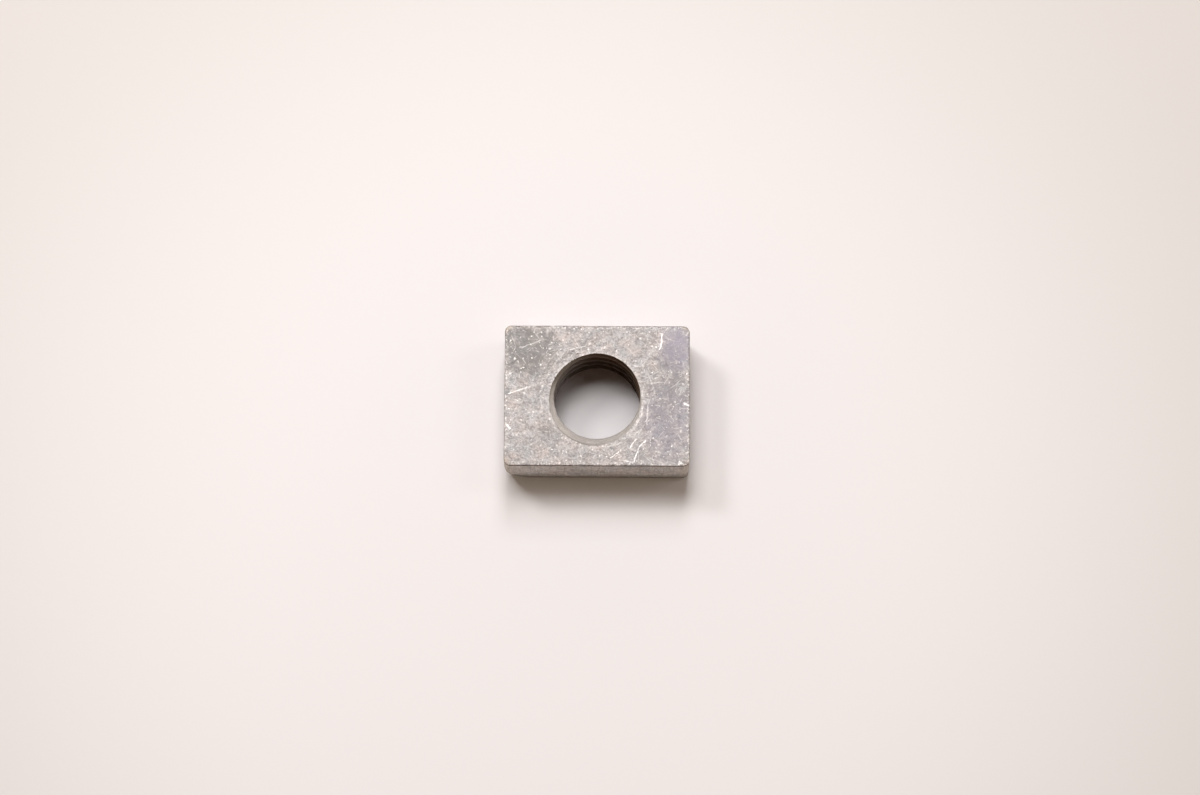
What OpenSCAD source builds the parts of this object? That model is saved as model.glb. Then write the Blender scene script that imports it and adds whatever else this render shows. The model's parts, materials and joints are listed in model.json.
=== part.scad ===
// Rectangular steel nut for a battery terminal: a small plated block with a
// threaded hole straight through its middle. It lies on its lower face, with
// the origin under the middle of the hole and the hole along +Z.
// The bore is true at the crests of its M6 thread, and the groove is cut into it.

/* [Block] */
// Width of the block, along its long sides
block_width = 11; // [8:0.1:20]
// Depth of the block, along its short sides
block_depth = 8.5; // [8:0.1:16]
// Thickness of the block, along the hole
block_thickness = 4; // [2:0.1:8]

/* [Edges] */
// Radius of the four upright corners
corner_radius = 0.4; // [0.4:0.05:1]
// Radius that breaks the crisp edge of the upper face
upper_edge_radius = 0.08; // [0.02:0.01:0.3]
// Radius of the rolled edge that shearing left on the lower face
lower_edge_radius = 0.35; // [0.02:0.01:0.35]

/* [Hole] */
// Diameter of the hole across the crests of its thread
bore_diameter = 5.1; // [3:0.05:6]
// Width and depth of the broken edge at each mouth of the hole
mouth_break = 0.06; // [0.02:0.01:0.1]

/* [Thread] */
// Rise of the thread in one turn
thread_pitch = 1; // [0.7:0.05:1.25]
// Direction, in degrees from +X, in which the groove runs out through the upper face
run_out_turn = 252; // [0:1:359]

/* [Hidden] */
$fn = 96;
// length by which a cut runs past the face that it leaves
overrun = 1;
// angle between the groove's flanks, under the screw's own 60 degrees to leave the crests broad
flank_angle = 50;
// depth of the groove below the crests
groove_depth = 0.5 * thread_pitch;
// distance by which the groove's cut reaches inside the bore
groove_overlap = 0.15 * thread_pitch;
// degrees from one section of the groove to the next
groove_step = 12;

// Upright section of the given width, standing on the X axis, with its edges rounded
module upright_section(width) {
  upper_y = block_thickness - upper_edge_radius;
  lower_y = lower_edge_radius;
  translate([-width / 2, lower_y]) square([width, upper_y - lower_y]);
  translate([upper_edge_radius - width / 2, lower_y])
    square([width - 2 * upper_edge_radius, block_thickness - lower_y]);
  translate([lower_edge_radius - width / 2, 0])
    square([width - 2 * lower_edge_radius, upper_y]);
  for (side = [-1, 1]) {
    translate([side * (width / 2 - upper_edge_radius), upper_y]) circle(upper_edge_radius);
    translate([side * (width / 2 - lower_edge_radius), lower_y]) circle(lower_edge_radius);
  }
}

// Round post that fills an upright corner of the block
module corner_post() {
  rotate_extrude() intersection() {
    upright_section(2 * corner_radius);
    square([corner_radius, block_thickness]);
  }
}

// Block: a bar along each way, and a post in each corner between them
module rounded_block() {
  post_x = block_width / 2 - corner_radius;
  post_y = block_depth / 2 - corner_radius;
  rotate([90, 0, 90])
    linear_extrude(2 * post_x, center = true) upright_section(block_depth);
  rotate([90, 0, 0])
    linear_extrude(2 * post_y, center = true) upright_section(block_width);
  for (x = [-1, 1], y = [-1, 1])
    translate([x * post_x, y * post_y, 0]) corner_post();
}

// Broken edge of a mouth whose face lies at height 0, with the metal below it
module mouth_cut() {
  translate([0, 0, -mouth_break])
    cylinder(
      h = mouth_break + overrun,
      d1 = bore_diameter,
      d2 = bore_diameter + 2 * (mouth_break + overrun)
    );
}

// Cut for the plain hole, with both mouths broken at 45 degrees
module hole_cut() {
  translate([0, 0, -overrun]) cylinder(h = block_thickness + 2 * overrun, d = bore_diameter);
  translate([0, 0, block_thickness]) mouth_cut();
  rotate([180, 0, 0]) mouth_cut();
}

// Corners of the groove's section at a turn in degrees, with its root in the middle
function groove_section(turn) =
  let (
    middle = block_thickness + thread_pitch * (turn - run_out_turn) / 360,
    inner_radius = bore_diameter / 2 - groove_overlap,
    inner_half = (groove_depth + groove_overlap) * tan(flank_angle / 2),
    corners = [
      [inner_radius, -inner_half],
      [bore_diameter / 2 + groove_depth, 0],
      [inner_radius, inner_half]
    ]
  )
  [for (corner = corners) [corner.x * cos(turn), corner.x * sin(turn), middle + corner.y]];

// Cut for the thread's groove: its section swept up a helix, from below the block to above it
module groove_cut() {
  first_turn = run_out_turn - 360 * (block_thickness / thread_pitch + 0.5);
  steps = ceil((run_out_turn + 180 - first_turn) / groove_step);
  points = [for (step = [0:steps]) each groove_section(first_turn + step * groove_step)];
  sides = [
    for (step = [0:steps - 1], corner = [0:2])
      let (
        here = 3 * step + corner,
        beside = 3 * step + (corner + 1) % 3
      )
      each [[here, beside, beside + 3], [here, beside + 3, here + 3]]
  ];
  ends = [[2, 1, 0], [for (corner = [0:2]) 3 * steps + corner]];
  polyhedron(points, concat(sides, ends));
}

module terminal_nut() {
  color([0.70, 0.67, 0.65])
    difference() {
      rounded_block();
      hole_cut();
      groove_cut();
    }
}

terminal_nut();
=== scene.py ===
"""Battery terminal nut: a plated steel block with a threaded hole, lying on pale paper."""
import json
import math
import random

import bmesh
import bpy
from mathutils import Matrix, Vector, kdtree, noise


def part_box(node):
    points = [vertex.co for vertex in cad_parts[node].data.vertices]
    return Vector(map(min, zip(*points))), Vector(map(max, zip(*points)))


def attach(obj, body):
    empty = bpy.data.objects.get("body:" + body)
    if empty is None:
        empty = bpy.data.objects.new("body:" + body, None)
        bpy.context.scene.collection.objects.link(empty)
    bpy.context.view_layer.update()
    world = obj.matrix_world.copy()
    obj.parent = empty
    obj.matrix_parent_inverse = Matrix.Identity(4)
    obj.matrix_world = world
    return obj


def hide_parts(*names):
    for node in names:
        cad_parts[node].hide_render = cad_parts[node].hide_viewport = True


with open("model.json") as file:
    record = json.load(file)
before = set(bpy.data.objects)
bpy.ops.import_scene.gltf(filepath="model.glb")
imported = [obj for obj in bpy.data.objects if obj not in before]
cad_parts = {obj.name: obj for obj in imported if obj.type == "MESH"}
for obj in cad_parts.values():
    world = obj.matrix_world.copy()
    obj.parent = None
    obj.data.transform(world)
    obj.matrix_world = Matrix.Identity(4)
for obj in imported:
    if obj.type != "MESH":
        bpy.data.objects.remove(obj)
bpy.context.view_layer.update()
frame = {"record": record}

# Sizes of the nut, in millimetres
MM = 0.001
low_corner, high_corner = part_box("terminal_nut")
WIDTH, DEPTH, THICKNESS = (high_corner - low_corner) / MM
CORNER_RADIUS = 0.4
UPPER_EDGE = 0.08
LOWER_EDGE = 0.35

# Thread of the hole, in millimetres and degrees
CREST_RADIUS = frame["record"]["mounts"][0]["dims"]["r_mm"]
ROOT_RADIUS = CREST_RADIUS + 0.5
PITCH = 1.0
GROOVE_HALF_AT_CREST = 0.35 * PITCH
GROOVE_HALF_AT_ROOT = 0.0625 * PITCH
THREAD_ROUNDING = 0.035
RUN_OUT_TURN = 252.0

# Fineness of the mesh
COLUMNS = 480
SECTORS = 20
UPPER_FACE_RINGS = 46
LOWER_FACE_RINGS = 22
SIDE_RINGS = 26
EDGE_RINGS = 5
SHARP_ANGLE = 35

# Scratches on the upper face: points from the middle of the hole and half the width, in millimetres,
# and how bright each one is
SCRATCHES = [
    ([(3.85, 3.8), (3.8, 3.1), (3.7, 2.8)], 0.05, 0.75),
    ([(-5.2, 0.1), (-4.15, 0.5)], 0.045, 0.6),
    ([(2.2, -4.0), (2.5, -3.1), (2.85, -2.7)], 0.048, 0.7),
    ([(1.95, -3.15), (2.3, -2.6)], 0.045, 0.7),
    ([(0.8, -3.75), (1.6, -3.15)], 0.045, 0.6),
    ([(1.35, -3.9), (2.15, -4.0)], 0.05, 0.45),
    ([(2.7, -0.65), (2.65, -1.1), (2.3, -1.85)], 0.06, 0.35),
    ([(3.0, -0.6), (2.95, -1.65)], 0.055, 0.4),
    ([(-4.6, 2.85), (-3.35, 3.35)], 0.045, 0.3),
    ([(-1.7, 2.75), (-0.65, 3.05)], 0.045, 0.4),
    ([(-5.4, -1.7), (-5.15, -2.0)], 0.075, 0.8),
    ([(5.15, -0.45), (5.4, -0.55)], 0.065, 0.75),
]

# Wear of the metal, in millimetres and degrees
DENT_SEED = 6
WAVE_DEPTH = 0.012
EDGE_WEAR_DEPTH = 0.013
LIP_DEPTH = 0.05
TORN_DEPTH = 0.02
TORN_LIP_TURNS = (110, 170)
SCRATCH_DEPTH = 0.004
PIT_COUNT = 1500
PIT_RADII = (0.07, 0.2)
PIT_DEPTHS = (0.006, 0.02)
NICK_COUNT = 70
NICK_RADII = (0.06, 0.18)
NICK_DEPTHS = (0.008, 0.024)
WORN_CORNER_DEPTH = 0.22
WORN_CORNER_REACH = 0.9


def outline_reach(turn, inset):
    """Distance from the axis to the block's rounded outline, drawn in by inset, in direction turn."""
    half_x = WIDTH / 2 - inset
    half_y = DEPTH / 2 - inset
    radius = CORNER_RADIUS - inset
    along_x = abs(math.cos(turn))
    along_y = abs(math.sin(turn))
    if along_x * (half_y - radius) >= half_x * along_y:
        return half_x / along_x
    if along_y * (half_x - radius) >= half_y * along_x:
        return half_y / along_y
    centre_x = half_x - radius
    centre_y = half_y - radius
    middle = centre_x * along_x + centre_y * along_y
    return middle + math.sqrt(middle * middle - centre_x ** 2 - centre_y ** 2 + radius ** 2)


def only_verts(geometry):
    """The vertices among the elements that an operator gives back."""
    return [item for item in geometry if isinstance(item, bmesh.types.BMVert)]


def thread_profile(bm):
    """Profile of the thread's turns, with rounded crests and roots, standing on the +X side of the axis.

    Its heights are whole steps of the rise from one column to the next, so that both faces of the
    block cut the wall at its columns.
    """
    middle_at_start = THICKNESS - PITCH * RUN_OUT_TURN / 360
    groove = [
        (-GROOVE_HALF_AT_CREST, CREST_RADIUS),
        (-GROOVE_HALF_AT_ROOT, ROOT_RADIUS),
        (GROOVE_HALF_AT_ROOT, ROOT_RADIUS),
        (GROOVE_HALF_AT_CREST, CREST_RADIUS),
    ]
    turns_below = math.ceil(middle_at_start / PITCH) + 1
    corners = []
    for turn in range(-turns_below, 2):
        for height, radius in groove:
            corners.append(bm.verts.new((radius, 0, middle_at_start + turn * PITCH + height)))
    for pair in zip(corners, corners[1:]):
        bm.edges.new(pair)
    bmesh.ops.bevel(
        bm,
        geom=corners[1:-1],
        offset=THREAD_ROUNDING,
        segments=2,
        profile=0.5,
        affect="VERTICES",
        material=-1,
    )
    flanks = [edge for edge in bm.edges if edge.calc_length() > 0.4]
    flats = [edge for edge in bm.edges if 0.15 < edge.calc_length() < 0.4]
    bmesh.ops.subdivide_edges(bm, edges=flanks, cuts=4)
    bmesh.ops.subdivide_edges(bm, edges=flats, cuts=1)
    step = PITCH / COLUMNS
    for vertex in bm.verts:
        vertex.co.z = round(vertex.co.z / step) * step


def thread_wall(bm):
    """Threaded wall of the hole: the profile is spun through a sector as it rises, and copied round."""
    thread_profile(bm)
    bmesh.ops.spin(
        bm,
        geom=bm.verts[:] + bm.edges[:],
        axis=(0, 0, 1),
        dvec=(0, 0, PITCH / COLUMNS),
        angle=math.tau / SECTORS,
        steps=COLUMNS // SECTORS,
    )
    sector = bm.verts[:] + bm.edges[:] + bm.faces[:]
    for number in range(1, SECTORS):
        copied = only_verts(bmesh.ops.duplicate(bm, geom=sector)["geom"])
        turned = Matrix.Rotation(number * math.tau / SECTORS, 3, "Z")
        bmesh.ops.rotate(bm, cent=(0, 0, 0), matrix=turned, verts=copied)
        bmesh.ops.translate(bm, vec=(0, 0, PITCH * number / SECTORS), verts=copied)
    bmesh.ops.remove_doubles(bm, verts=bm.verts[:], dist=0.0005)
    for height, upward in ((THICKNESS, 1), (0, -1)):
        bmesh.ops.bisect_plane(
            bm,
            geom=bm.verts[:] + bm.edges[:] + bm.faces[:],
            dist=0.0001,
            plane_co=(0, 0, height),
            plane_no=(0, 0, upward),
            clear_outer=True,
        )


def rim_edges(bm, height):
    """Edges of the open rim at the given height."""
    return [
        edge for edge in bm.edges
        if edge.is_boundary and all(abs(vertex.co.z - height) < 0.001 for vertex in edge.verts)
    ]


def column_of(vertex):
    """Number of the mesh column that a vertex stands in."""
    turn = math.atan2(vertex.co.y, vertex.co.x)
    return round(turn / math.tau * COLUMNS) % COLUMNS


def turn_of(column):
    """Direction of a mesh column, in radians from +X."""
    return column * math.tau / COLUMNS


def rim_reaches(edges):
    """Distance of a rim from the axis, for each column."""
    return {column_of(vertex): vertex.co.xy.length for edge in edges for vertex in edge.verts}


def skin_rings(upper_rim, lower_rim):
    """Rules that place the rings of the outer skin, in order from the upper rim to the lower one.

    Each rule takes a column and gives the distance from the axis and the height.
    """
    def face_ring(rim, height, inset, share):
        def rule(column):
            reach = outline_reach(turn_of(column), inset)
            return rim[column] + (reach - rim[column]) * share, height
        return rule

    def edge_ring(face_height, down, radius, share):
        angle = share * math.pi / 2
        inset = radius * (1 - math.sin(angle))
        height = face_height - down * radius * (1 - math.cos(angle))
        return lambda column: (outline_reach(turn_of(column), inset), height)

    rules = []
    for step in range(1, UPPER_FACE_RINGS + 1):
        rules.append(face_ring(upper_rim, THICKNESS, UPPER_EDGE, step / UPPER_FACE_RINGS))
    for step in range(1, EDGE_RINGS + 1):
        rules.append(edge_ring(THICKNESS, 1, UPPER_EDGE, step / EDGE_RINGS))
    side_top = THICKNESS - UPPER_EDGE
    side_height = side_top - LOWER_EDGE
    for step in range(1, SIDE_RINGS):
        height = side_top - side_height * step / SIDE_RINGS
        rules.append(lambda column, height=height: (outline_reach(turn_of(column), 0), height))
    for step in range(EDGE_RINGS, -1, -1):
        rules.append(edge_ring(0, -1, LOWER_EDGE, step / EDGE_RINGS))
    for step in range(LOWER_FACE_RINGS - 1, 0, -1):
        rules.append(face_ring(lower_rim, 0, LOWER_EDGE, step / LOWER_FACE_RINGS))
    return rules


def outer_skin(bm):
    """Faces, sides and rounded edges: the upper rim is extruded ring by ring down to the lower rim."""
    upper_edges = rim_edges(bm, THICKNESS)
    lower_edges = rim_edges(bm, 0)
    ring = upper_edges
    for rule in skin_rings(rim_reaches(upper_edges), rim_reaches(lower_edges)):
        made = bmesh.ops.extrude_edge_only(bm, edges=ring)["geom"]
        ring = [item for item in made if isinstance(item, bmesh.types.BMEdge)]
        for vertex in only_verts(made):
            column = column_of(vertex)
            reach, height = rule(column)
            turn = turn_of(column)
            vertex.co = (reach * math.cos(turn), reach * math.sin(turn), height)
    bmesh.ops.bridge_loops(bm, edges=ring + lower_edges)


class Dents:
    """Small round pits on the faces and sides, and deeper nicks along the edges of the upper face."""

    def __init__(self):
        draw = random.Random(DENT_SEED)
        half = Vector((WIDTH / 2, DEPTH / 2, THICKNESS / 2))
        areas = [half.y * half.z, half.x * half.z, half.x * half.y]
        self.shapes = []
        self.tree = kdtree.KDTree(PIT_COUNT + NICK_COUNT)
        for _ in range(PIT_COUNT):
            place = Vector(draw.uniform(-size, size) for size in half)
            axis = draw.choices(range(3), areas)[0]
            place[axis] = draw.choice((-1, 1)) * half[axis]
            self.add(draw, place, PIT_RADII, PIT_DEPTHS)
        for _ in range(NICK_COUNT):
            place = Vector((draw.uniform(-half.x, half.x), draw.uniform(-half.y, half.y), half.z))
            axis = draw.choices(range(2), [half.y, half.x])[0]
            place[axis] = draw.choice((-1, 1)) * half[axis]
            self.add(draw, place, NICK_RADII, NICK_DEPTHS)
        self.tree.balance()

    def add(self, draw, place, radii, depths):
        """One dent at a place measured from the middle of the block; small ones are the most common."""
        size = draw.random() ** 2.5
        radius = radii[0] + (radii[1] - radii[0]) * size
        depth = draw.uniform(*depths)
        self.tree.insert(place + Vector((0, 0, THICKNESS / 2)), len(self.shapes))
        self.shapes.append((radius, depth))

    def depth_at(self, place):
        """Depth of the deepest dent at a place on the surface."""
        deepest = 0.0
        for _, number, distance in self.tree.find_range(place, max(NICK_RADII[1], PIT_RADII[1])):
            radius, depth = self.shapes[number]
            if distance < radius:
                deepest = max(deepest, depth * (1 - (distance / radius) ** 2) ** 2)
        return deepest


def scratch_depth(place):
    """Depth of the scratches at a place on the upper face."""
    deepest = 0.0
    for points, half_width, _ in SCRATCHES:
        for start, end in zip(points, points[1:]):
            start = Vector(start)
            run = Vector(end) - start
            share = min(max((place.xy - start).dot(run) / run.length_squared, 0), 1)
            distance = (place.xy - start - run * share).length / (1.3 * half_width)
            if distance < 1:
                deepest = max(deepest, SCRATCH_DEPTH * (1 - distance ** 2))
    return deepest


def wear_depth(place, dents):
    """Depth of metal that wear has taken off at a place on the surface."""
    depth = WAVE_DEPTH * (0.5 + 0.5 * noise.noise(place * 0.7))
    depth += dents.depth_at(place)
    below_top = THICKNESS - place.z
    from_axis = place.xy.length
    if from_axis < ROOT_RADIUS + 0.01 and 0.002 < place.z:
        depth += TORN_DEPTH * max(noise.noise(place * 2.6), 0)
        turn = math.degrees(math.atan2(place.y, place.x)) % 360
        raggedness = 1 if TORN_LIP_TURNS[0] < turn < TORN_LIP_TURNS[1] else 0.25
        depth += LIP_DEPTH * raggedness * max(noise.noise(place * 9), 0) * math.exp(-below_top / 0.06)
        return depth
    from_side = min(WIDTH / 2 - abs(place.x), DEPTH / 2 - abs(place.y))
    edge_distance = max(from_side, 0) + min(below_top, place.z)
    depth += EDGE_WEAR_DEPTH * max(noise.noise(place * 1.9) + 0.1, 0) * math.exp(-edge_distance / 0.12)
    from_corner = (place - Vector((-WIDTH / 2, -DEPTH / 2, 0))).length
    depth += WORN_CORNER_DEPTH * math.exp(-(from_corner / WORN_CORNER_REACH) ** 2)
    if below_top < 0.001:
        depth += scratch_depth(place)
    return depth


def plated_nut():
    """The nut as one closed mesh."""
    bm = bmesh.new()
    thread_wall(bm)
    outer_skin(bm)
    bmesh.ops.recalc_face_normals(bm, faces=bm.faces[:])
    bm.normal_update()
    dents = Dents()
    for vertex in bm.verts:
        vertex.co -= vertex.normal * wear_depth(vertex.co, dents)
        vertex.co.z = min(max(vertex.co.z, 0), THICKNESS)
    bmesh.ops.scale(bm, vec=(MM, MM, MM), verts=bm.verts[:])
    open_edges = [edge for edge in bm.edges if not edge.is_manifold]
    print("nut:", len(bm.verts), "vertices", len(bm.faces), "faces", len(open_edges), "open edges")
    mesh = bpy.data.meshes.new("plated_nut")
    bm.to_mesh(mesh)
    bm.free()
    mesh.shade_smooth()
    mesh.set_sharp_from_angle(angle=math.radians(SHARP_ANGLE))
    nut = bpy.data.objects.new("plated_nut", mesh)
    bpy.context.collection.objects.link(nut)
    return nut


class Wire:
    """An output of a node; operators on it add Math nodes to the same tree."""

    def __init__(self, socket):
        self.socket = socket

    def node(self, kind, settings, sockets, output=0):
        """Any other node: its type, its settings, the values or links of its sockets, and its output."""
        tree = self.socket.id_data
        added = tree.nodes.new(kind)
        for name, value in settings.items():
            setattr(added, name, value)
        for name, value in sockets.items():
            if isinstance(value, Wire):
                tree.links.new(value.socket, added.inputs[name])
            else:
                added.inputs[name].default_value = value
        return Wire(added.outputs[output])

    def math(self, operation, *values):
        return self.node("ShaderNodeMath", {"operation": operation}, dict(enumerate(values)))

    def __add__(self, other):
        return self.math("ADD", self, other)

    __radd__ = __add__

    def __sub__(self, other):
        return self.math("SUBTRACT", self, other)

    def __rsub__(self, other):
        return self.math("SUBTRACT", other, self)

    def __mul__(self, other):
        return self.math("MULTIPLY", self, other)

    __rmul__ = __mul__

    def __abs__(self):
        return self.math("ABSOLUTE", self)

    def root(self):
        return self.math("SQRT", self)

    def least(self, other):
        return self.math("MINIMUM", self, other)

    def most(self, other):
        return self.math("MAXIMUM", self, other)

    def turn(self, along):
        """Turn from the direction of along, in radians, with this value across it."""
        return self.math("ARCTAN2", self, along)

    def fade(self, none, full):
        """Smooth change from 0 where the value is none to 1 where it is full."""
        return self.node(
            "ShaderNodeMapRange",
            {"interpolation_type": "SMOOTHSTEP"},
            {"Value": self, "From Min": none, "From Max": full},
        )

    def blend(self, first, second):
        """Mix of two colours, with this value as the share of the second."""
        return self.node("ShaderNodeMix", {"data_type": "RGBA"}, {0: self, 6: first, 7: second}, 2)

    def vector(self, operation, other, output=0):
        """Vector Math with another vector."""
        return self.node("ShaderNodeVectorMath", {"operation": operation}, {0: self, 1: other}, output)

    def scaled(self, factor):
        return self.node("ShaderNodeVectorMath", {"operation": "SCALE"}, {0: self, "Scale": factor})

    def length(self):
        return self.node("ShaderNodeVectorMath", {"operation": "LENGTH"}, {0: self}, 1)

    def axes(self):
        """The three numbers of a vector."""
        return [self.node("ShaderNodeSeparateXYZ", {}, {0: self}, axis) for axis in range(3)]

    def noise(self, scale, detail=2.0, roughness=0.5, output=0):
        """Noise at the places of this vector."""
        sockets = {"Vector": self, "Scale": scale, "Detail": detail, "Roughness": roughness}
        return self.node("ShaderNodeTexNoise", {}, sockets, output)


def new_material(name):
    """A material with its tree, its shader and its Object coordinates in millimetres."""
    material = bpy.data.materials.new(name)
    material.use_nodes = True
    tree = material.node_tree
    coordinates = Wire(tree.nodes.new("ShaderNodeTexCoord").outputs["Object"])
    return material, tree.nodes["Principled BSDF"], coordinates.scaled(1 / MM)


def plug(shader, socket_name, wire):
    """Link a wire to a socket of the shader."""
    wire.socket.id_data.links.new(wire.socket, shader.inputs[socket_name])


def plate_grey(level):
    """Linear colour of the plate's warm grey at a level."""
    return (level * 1.065, level, level * 0.96, 1)


# Colours of the zinc plate
PLATE_LIGHT = plate_grey(0.5)
PLATE_DARK = plate_grey(0.27)
WARM_TINT = (1.045, 0.98, 0.98, 1)
COOL_TINT = (0.965, 0.995, 1.035, 1)
# Grey of the stains, also used for the painted shade in the hole's undercut
STAIN_AND_SHADE_GREY = plate_grey(0.2)
STAIN_BLUE = (0.3, 0.277, 0.316, 1)
CORNER_YELLOW = (0.44, 0.36, 0.27, 1)
BARE_METAL = plate_grey(0.85)
CUT_METAL_LIGHT = plate_grey(0.68)
CUT_METAL_DARK = plate_grey(0.4)
# Dark brown of the dirt and painted shade deep in the hole
THREAD_DIRT_AND_SHADE = (0.105, 0.051, 0.021, 1)
# Colour of the painted shade under the upper edge and along the foot of the sides
EDGE_SHADE_COLOUR = (0.085, 0.055, 0.044, 1)


def stroke(x, y, start, end):
    """Distance from the line between two points of the upper face."""
    run = Vector(end) - Vector(start)
    size = run.length
    run.normalize()
    from_x = x - start[0]
    from_y = y - start[1]
    along = from_x * run.x + from_y * run.y
    across = from_y * run.x - from_x * run.y
    beyond = (abs(along - size / 2) - size / 2).most(0)
    return (across * across + beyond * beyond).root()


def scratch_mask(x, y, on_top):
    """The listed scratches of the upper face."""
    mask = None
    for points, half_width, brightness in SCRATCHES:
        for start, end in zip(points, points[1:]):
            line = stroke(x, y, start, end).fade(half_width * 1.4, 0) * brightness
            mask = line if mask is None else mask.most(line)
    return mask * on_top


def cell_points(place, cells):
    """Random points of space, so many to a millimetre: offset, distance and random numbers of the nearest."""
    cell = place.scaled(cells)
    nearest = cell.node("ShaderNodeTexVoronoi", {}, {"Vector": cell, "Scale": 1.0}, "Position")
    colour = cell.node("ShaderNodeTexVoronoi", {}, {"Vector": cell, "Scale": 1.0}, "Color")
    offset = cell.vector("SUBTRACT", nearest).scaled(1 / cells)
    return offset, offset.length(), colour


def speck_mask(place, cells, share, radius):
    """Round specks of differing size and brightness, in a share of the cells of space."""
    _, distance, colour = cell_points(place, cells)
    size, chosen, brightness = colour.axes()
    size = (0.4 + size * 0.6) * radius
    round_speck = distance.fade(size, size * 0.35)
    return round_speck * chosen.fade(1.03 - share, 1.0 - share) * (0.45 + brightness * 0.55)


def nick_mask(place, cells, reach, half_width):
    """Short nicks, one in each cell of space, each in a direction of its own."""
    offset, _, colour = cell_points(place, cells)
    direction = colour.vector("SUBTRACT", (0.5, 0.5, 0.5))
    direction = direction.node("ShaderNodeVectorMath", {"operation": "NORMALIZE"}, {0: direction})
    along = offset.vector("DOT_PRODUCT", direction, 1)
    across = offset.vector("SUBTRACT", direction.scaled(along)).length()
    return across.fade(half_width * 1.3, half_width * 0.4) * abs(along).fade(reach, reach * 0.7)


def hairline_mask(flat, cells, reach, half_width):
    """Straight fine scratches in the plane of a face, one in each cell, of differing brightness."""
    cell = flat.scaled(cells)
    settings = {"voronoi_dimensions": "2D"}
    nearest = cell.node("ShaderNodeTexVoronoi", settings, {"Vector": cell, "Scale": 1.0}, "Position")
    colour = cell.node("ShaderNodeTexVoronoi", settings, {"Vector": cell, "Scale": 1.0}, "Color")
    offset = cell.vector("SUBTRACT", nearest).scaled(1 / cells).vector("MULTIPLY", (1, 1, 0))
    direction = colour.vector("SUBTRACT", (0.5, 0.5, 0)).vector("MULTIPLY", (1, 1, 0))
    direction = direction.node("ShaderNodeVectorMath", {"operation": "NORMALIZE"}, {0: direction})
    along = offset.vector("DOT_PRODUCT", direction, 1)
    across = offset.vector("SUBTRACT", direction.scaled(along)).length()
    _, _, brightness = colour.axes()
    return across.fade(half_width * 1.5, 0) * abs(along).fade(reach, reach * 0.3) * brightness


def stain_mask(x, y, ragged, middle, half_sizes):
    """Soft stain on the upper face with a ragged outline."""
    from_x = (x - middle[0]) * (1 / half_sizes[0])
    from_y = (y - middle[1]) * (1 / half_sizes[1])
    distance = from_x * from_x + from_y * from_y + ragged
    return distance.fade(1.6, 0.0)


def rim_distance(x, y, from_axis):
    """Distance outwards from the hole's upper rim, which follows the thread's run-out."""
    run_out = math.radians(RUN_OUT_TURN)
    along = x * math.cos(run_out) + y * math.sin(run_out)
    across = y * math.cos(run_out) - x * math.sin(run_out)
    rise = abs(across.turn(along)) * (PITCH / math.tau)
    slope = (ROOT_RADIUS - CREST_RADIUS) / (GROOVE_HALF_AT_CREST - GROOVE_HALF_AT_ROOT)
    rim = (ROOT_RADIUS - (rise - GROOVE_HALF_AT_ROOT) * slope).least(ROOT_RADIUS).most(CREST_RADIUS)
    return from_axis - rim


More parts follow.
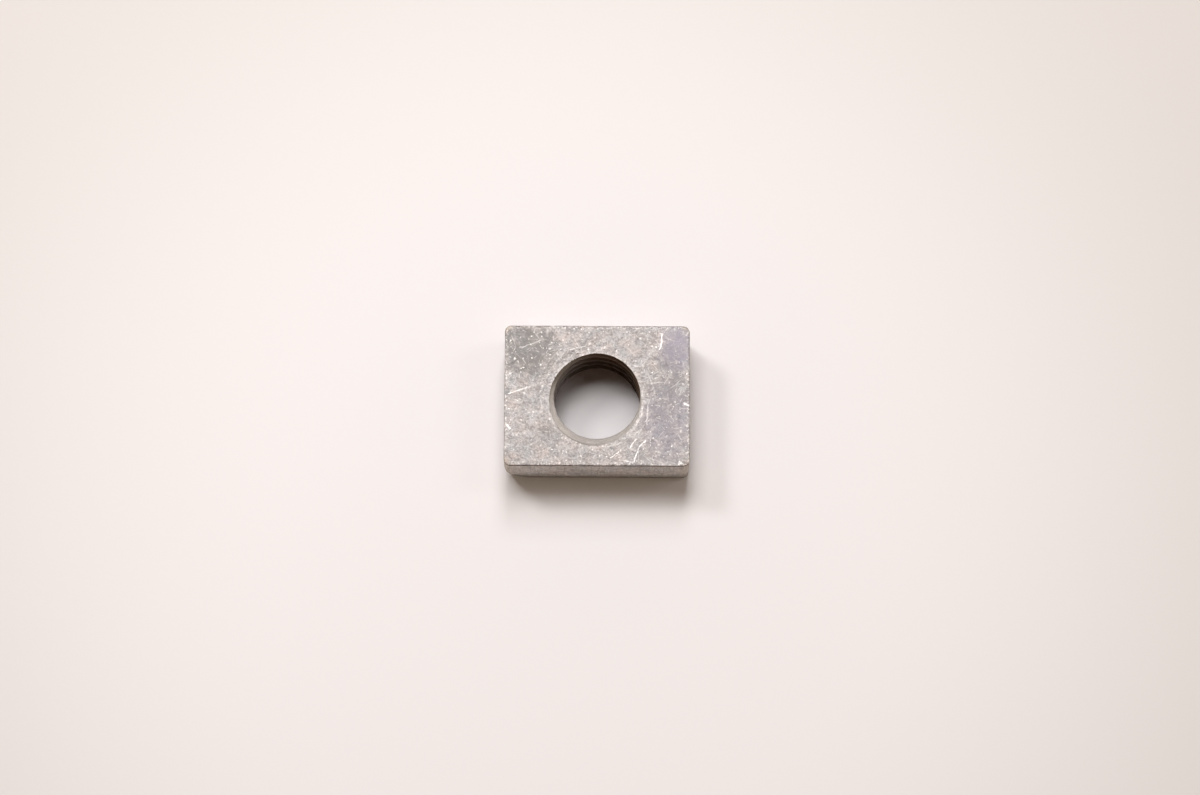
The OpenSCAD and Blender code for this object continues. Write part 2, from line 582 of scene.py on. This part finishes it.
def zinc_plate():
    """Dull zinc plate: mottled grey with bright specks, nicks, scuffs and stains; dark dirt and painted shade
    in the hole, painted light on the hole's left, and painted shade along the edges.
    """
    material, shader, place = new_material("zinc_plate")
    x, y, z = place.axes()
    from_axis = (x * x + y * y).root()
    below_top = THICKNESS - z
    on_top = below_top.fade(0.035, 0.015)
    from_rim = rim_distance(x, y, from_axis)
    by_rim = from_rim.fade(0.0, 0.03) * below_top.fade(0.1, 0.06)
    by_rim = by_rim * from_axis.fade(ROOT_RADIUS + 0.4, ROOT_RADIUS + 0.2)
    on_faces = below_top.least(z).fade(0.035, 0.015).most(by_rim)
    in_hole = from_axis.fade(ROOT_RADIUS + 0.15, ROOT_RADIUS + 0.08) * (1 - on_faces)
    on_sides = (1 - on_faces) * (1 - in_hole)
    from_side = (WIDTH / 2 - abs(x)).least(DEPTH / 2 - abs(y)).most(0)
    upright = place.node("ShaderNodeCombineXYZ", {}, {0: x + y, 1: z})
    flat = on_sides.blend(place, upright)

    broad = place.noise(0.42, 4, 0.6)
    middling = place.noise(2.1, 5, 0.7)
    fine = place.noise(7.5, 4, 0.7)
    warp = place.noise(2.8, 2, 0.5, 1).vector("SUBTRACT", (0.5, 0.5, 0.5))
    bent = place.vector("ADD", warp.scaled(0.16))
    bent_x, bent_y, _ = bent.axes()
    ragged = (middling - 0.5) * 3

    tone = (broad - 0.5) * 0.9 + (middling - 0.5) * 2.0 + (fine - 0.5) * 2.3 + 0.5
    colour = tone.fade(0.0, 1.0).blend(PLATE_DARK, PLATE_LIGHT)
    tint = place.noise(1.3, 4, 0.65).fade(0.3, 0.7).blend(COOL_TINT, WARM_TINT)
    colour = colour.vector("MULTIPLY", tint)

    smooth_stain = stain_mask(x, y, ragged, (4.75, 2.9), (1.1, 1.5)) * on_top
    dull_stain = stain_mask(x, y, ragged, (-4.1, 2.8), (1.8, 1.8)) * on_top
    stains = [
        (smooth_stain, 0.85, STAIN_BLUE),
        (dull_stain, 0.8, STAIN_AND_SHADE_GREY),
        (stain_mask(x, y, ragged, (4.2, -1.5), (1.5, 2.4)) * on_top, 0.6, STAIN_BLUE),
        (stain_mask(x, y, ragged, (4.0, 0.5), (1.4, 1.5)) * on_top, 0.3, STAIN_AND_SHADE_GREY),
        (stain_mask(x, y, ragged, (-2.8, -2.3), (0.9, 0.8)) * on_top, 0.3, STAIN_AND_SHADE_GREY),
    ]
    for mask, strength, stain_colour in stains:
        colour = (mask * strength).blend(colour, stain_colour)
    near_corner = (abs(x) - WIDTH / 2 + abs(y) - DEPTH / 2 + (middling - 0.5) * 1.2).fade(-0.75, -0.25)
    colour = (near_corner * 0.45).blend(colour, CORNER_YELLOW)

    specks = speck_mask(bent, 2.6, 0.55, 0.115).most(speck_mask(bent, 4.5, 0.5, 0.075))
    nicks = nick_mask(bent, 1.5, 0.15, 0.03).most(nick_mask(bent, 2.6, 0.09, 0.026))
    hairlines = hairline_mask(flat, 0.6, 0.8, 0.016).most(hairline_mask(flat, 1.3, 0.36, 0.018))
    hairlines = hairlines.most(hairline_mask(flat, 2.5, 0.18, 0.018)) * (1 - in_hole)
    dense_specks = speck_mask(bent, 3.7, 0.7, 0.1).most(speck_mask(bent, 6, 0.7, 0.06))
    specks = specks.most(dense_specks * dull_stain) * (1 - on_sides * 0.75)
    bright = specks.most(nicks * 0.7).most(hairlines * 0.65) * (1 - smooth_stain * 0.6)
    hollows = speck_mask(place, 3.3, 0.4, 0.12)
    colour = (hollows * 0.35).blend(colour, STAIN_AND_SHADE_GREY)
    colour = (bright * 0.78).blend(colour, BARE_METAL)

    scratches = scratch_mask(bent_x, bent_y, on_top) * fine.fade(0.28, 0.5)
    ring_place = place.node("ShaderNodeCombineXYZ", {}, {0: from_axis * 7, 1: x * 0.5, 2: y * 0.5})
    scuffs = ring_place.noise(1.0, 3, 0.6).fade(0.56, 0.7) * from_axis.fade(4.2, 2.9) * on_faces
    colour = (scuffs * 0.35).blend(colour, BARE_METAL)
    colour = (scratches * 0.8).blend(colour, BARE_METAL)
    rim_specks = from_side.fade(0.24, 0.12) * on_top * fine.fade(0.52, 0.62)
    colour = (rim_specks * 0.6).blend(colour, BARE_METAL)
    worn_rim = from_rim.fade(0.3, 0.06) * on_faces * fine.fade(0.3, 0.55)
    colour = (worn_rim * 0.14).blend(colour, BARE_METAL)

    shear_place = place.node("ShaderNodeCombineXYZ", {}, {0: x * 8, 1: y * 8, 2: z * 0.5})
    shear = shear_place.noise(1.0, 5, 0.7)
    broken = on_sides * (z - 1.2 - (broad - 0.5) * 3 - (middling - 0.5) * 1.5).fade(0.1, -0.15)
    colour = (on_sides * shear.fade(0.5, 0.34) * 0.55).blend(colour, STAIN_AND_SHADE_GREY)
    colour = (on_sides * shear.fade(0.56, 0.7) * 0.4).blend(colour, BARE_METAL)
    colour = (broken * (0.25 + fine * 0.5)).blend(colour, STAIN_AND_SHADE_GREY)
    # Painted shade: the sides are painted darker towards the floor, where the contact shadow falls.
    colour = (on_sides * z.fade(1.1, 0.2) * 0.75).blend(colour, EDGE_SHADE_COLOUR)
    # Painted shade: a ragged dark line just under the upper edge, strongest at the front and faint at the
    # rear; the same line also makes the edge less rough.
    to_rear = y.fade(DEPTH / 2 - 0.3, DEPTH / 2 - 0.1)
    to_front = y.fade(0.3 - DEPTH / 2, 0.1 - DEPTH / 2)
    edge_start = below_top.fade(0.022 - to_rear * 0.019, 0.045 - to_rear * 0.03)
    edge_end = (below_top + (middling - 0.5) * 0.3 - to_front * 0.05 + to_rear * 0.1).fade(0.2, 0.1)
    edge_line = edge_start * edge_end * (1 - in_hole)
    painted_edge_shade = edge_line * (0.4 + to_front * 0.6 + to_rear * 0.3) * middling.fade(0.15, 0.4)
    colour = painted_edge_shade.blend(colour, EDGE_SHADE_COLOUR)
    # Painted light: the cut metal in the hole is painted lighter towards the left of the hole, besides its
    # random tone.
    to_left = x.fade(0.5, -2.6)
    cut = ring_place.noise(1.6, 4, 0.65)
    cut_metal_lit_left = (to_left * 0.7 + (cut - 0.5) * 1.4 + 0.15).blend(CUT_METAL_DARK, CUT_METAL_LIGHT)
    colour = (in_hole * (0.55 + middling * 0.5)).blend(colour, cut_metal_lit_left)
    # Painted shade: the undercut under the hole's rim is painted darker on the left of the hole.
    painted_undercut_shade = from_rim.fade(-0.18, -0.09) * below_top.fade(0.25, 0.08) * in_hole * to_left
    colour = (painted_undercut_shade * 0.65).blend(colour, STAIN_AND_SHADE_GREY)
    # Partly dirt, partly painted shade: the hole is painted dark brown, more so deeper down and on the rear
    # wall, less on the left.
    rear_wall = y.fade(0.2, 1.8)
    deep_dirt_and_shade = (below_top + rear_wall * 0.8).fade(0.5, 1.2) * in_hole * (1 - to_left * 0.6)
    colour = (deep_dirt_and_shade * (0.75 + middling * 0.4)).blend(colour, THREAD_DIRT_AND_SHADE)

    plug(shader, "Base Color", colour)
    plug(shader, "Metallic", 0.72 - deep_dirt_and_shade * 0.45)
    roughness = 0.6 + (broad - 0.5) * 0.25 - bright * 0.12 - scratches * 0.2 - edge_line * 0.2
    plug(shader, "Roughness", roughness)
    height = (
        fine * 0.014 + middling * 0.02 - hollows * 0.008
        + specks * 0.006 - nicks * 0.006 - scratches * 0.004 - scuffs * 0.004
        + on_sides * shear * 0.03 - hairlines * 0.003 + broken * fine * 0.03 + in_hole * cut * 0.02
    )
    bump = height.node("ShaderNodeBump", {}, {"Strength": 1.0, "Distance": MM, "Height": height})
    plug(shader, "Normal", bump)
    return material


# Colours of the paper, the painted shade of the lamps' falloff, and the place on it, in millimetres, around
# which it is painted palest
PAPER_DARK = (0.89, 0.85, 0.858, 1)
PAPER_LIGHT = (0.93, 0.9, 0.914, 1)
PAPER_FALLOFF_SHADE = (0.75, 0.71, 0.69, 1)
PAPER_MIDDLE = (-2, -11, 0)


def pale_paper():
    """Pale paper with a faint fibre, with painted shade of the lamps' falloff that makes it a little darker
    away from its middle.
    """
    material, shader, place = new_material("pale_paper")
    cloud = place.noise(0.06, 3, 0.5)
    fibre = place.noise(2.2, 4, 0.6)
    shade = (cloud - 0.5) * 0.05 + (fibre - 0.5) * 0.05 + 0.5
    colour = shade.blend(PAPER_DARK, PAPER_LIGHT)
    from_middle = place.vector("SUBTRACT", PAPER_MIDDLE).length()
    # Painted shade: the lamps' falloff, painted darker away from the middle of the paper.
    colour = from_middle.fade(16, 55).blend(colour, PAPER_FALLOFF_SHADE)
    plug(shader, "Base Color", colour)
    shader.inputs["Roughness"].default_value = 0.85
    shader.inputs["Specular IOR Level"].default_value = 0.2
    bump = fibre.node("ShaderNodeBump", {}, {"Strength": 0.4, "Distance": MM, "Height": fibre * 0.02})
    plug(shader, "Normal", bump)
    return material


nut = plated_nut()
nut.data.materials.append(zinc_plate())
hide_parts("terminal_nut")
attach(nut, "root")

# Camera, in millimetres and degrees
CAMERA_FIELD = 19.0
CAMERA_DISTANCE = 215.93
CAMERA_AIM = Vector((0.173, 0.665, 0.4))
CAMERA_PITCH = 12.40
CAMERA_YAW = 0.044
CAMERA_ROLL = 0.303

# Light: height of the lamps, in millimetres, and colours of the lamps and the room
LAMP_HEIGHT = 200
LAMP_COLOUR = (0.99, 0.985, 0.982)
ROOM_REAR = (0.88, 0.765, 0.64, 1)
ROOM_FRONT = (1.28, 1.09, 0.85, 1)
ROOM_OVERHEAD = (0.036, 0.018, 0.007, 1)


def photo_camera():
    """Camera at the photograph's angle, looking down a little from the front."""
    data = bpy.data.cameras.new("photo_camera")
    data.sensor_fit = "HORIZONTAL"
    data.angle = math.radians(CAMERA_FIELD)
    data.clip_start = 0.01
    turned = (
        Matrix.Rotation(math.radians(CAMERA_PITCH), 4, "X")
        @ Matrix.Rotation(math.radians(CAMERA_YAW), 4, "Y")
        @ Matrix.Rotation(math.radians(CAMERA_ROLL), 4, "Z")
    )
    eye = (CAMERA_AIM + turned @ Vector((0, 0, CAMERA_DISTANCE))) * MM
    camera = bpy.data.objects.new("photo_camera", data)
    camera.matrix_world = Matrix.Translation(eye) @ turned
    bpy.context.collection.objects.link(camera)
    bpy.context.scene.camera = camera


def soft_lamp(name, slope_x, slope_y, width, length, power):
    """Rectangular lamp over the nut, at the given slopes from straight up, facing the nut."""
    data = bpy.data.lights.new(name, "AREA")
    data.shape = "RECTANGLE"
    data.size = width * MM
    data.size_y = length * MM
    data.energy = power
    data.color = LAMP_COLOUR
    place = Vector((slope_x, slope_y, 1)) * LAMP_HEIGHT * MM
    lamp = bpy.data.objects.new(name, data)
    lamp.matrix_world = Matrix.Translation(place) @ place.to_track_quat("Z", "Y").to_matrix().to_4x4()
    lamp.visible_camera = False
    bpy.context.collection.objects.link(lamp)


def soft_room():
    """Room light: pale walls low down, brightest in front, and dim overhead."""
    world = bpy.data.worlds.new("soft_room")
    world.use_nodes = True
    tree = world.node_tree
    direction = Wire(tree.nodes.new("ShaderNodeTexCoord").outputs["Generated"])
    _, y, z = direction.axes()
    horizon = y.fade(0.2, -0.6).blend(ROOM_REAR, ROOM_FRONT)
    colour = z.fade(0.25, 0.6).blend(horizon, ROOM_OVERHEAD)
    tree.links.new(colour.socket, tree.nodes["Background"].inputs["Color"])
    bpy.context.scene.world = world


def paper_floor():
    """Wide sheet of pale paper under the nut."""
    bm = bmesh.new()
    bmesh.ops.create_grid(bm, x_segments=4, y_segments=4, size=1.5)
    mesh = bpy.data.meshes.new("paper_floor")
    bm.to_mesh(mesh)
    bm.free()
    mesh.materials.append(pale_paper())
    floor = bpy.data.objects.new("paper_floor", mesh)
    bpy.context.collection.objects.link(floor)


photo_camera()
soft_lamp("overhead_strip", -0.09, 0.32, 76, 54, 0.188)
soft_lamp("rear_strip", 0.04, 0.68, 58, 80, 0.145)
soft_lamp("left_lamp", -0.58, 0.48, 50, 50, 0.15)
soft_lamp("right_lamp", 0.72, 0.18, 54, 90, 0.042)
soft_room()
paper_floor()

bpy.context.scene.view_settings.view_transform = "Standard"
